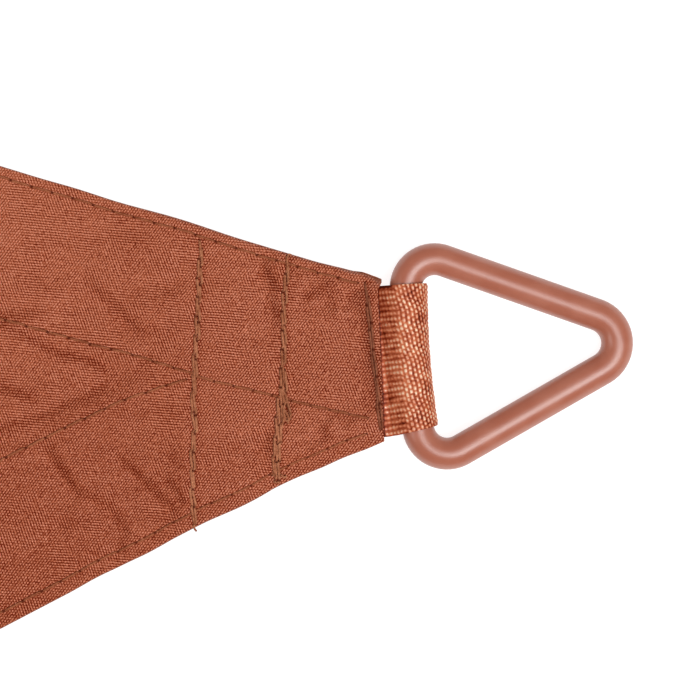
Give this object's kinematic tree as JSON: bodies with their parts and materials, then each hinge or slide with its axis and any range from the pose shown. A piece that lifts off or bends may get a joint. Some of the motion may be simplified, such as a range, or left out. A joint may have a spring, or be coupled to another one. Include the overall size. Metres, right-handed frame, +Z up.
{
  "type": "shade sail",
  "caption": "Triangular shade sail of woven cloth with hollow hemmed edges, and a triangular metal ring in a webbing loop at each corner, lying flat on its underside.",
  "frame": {"origin": "the sail's three-fold centre, on the surface that it lies on", "axes": "+Z up, out of the cloth's right side; +X from the centre towards corner a; corners b and c follow at 120 and 240 degrees about +Z"},
  "size_m": [2.6027, 3.0021, 0.009],
  "materials": {
    "cloth": "terracotta plain-woven polyester, matt, with a fine visible weave",
    "webbing": "ribbed polyester webbing, a little lighter than the cloth",
    "coating": "semi-gloss coating over bent steel wire, in the cloth's colour"
  },
  "bodies": {
    "root": {"sail_cloth": "cloth", "webbing_loop_a": "webbing", "webbing_loop_b": "webbing", "webbing_loop_c": "webbing", "ring_a": "coating", "ring_b": "coating", "ring_c": "coating"}
  },
  "joints": []
}
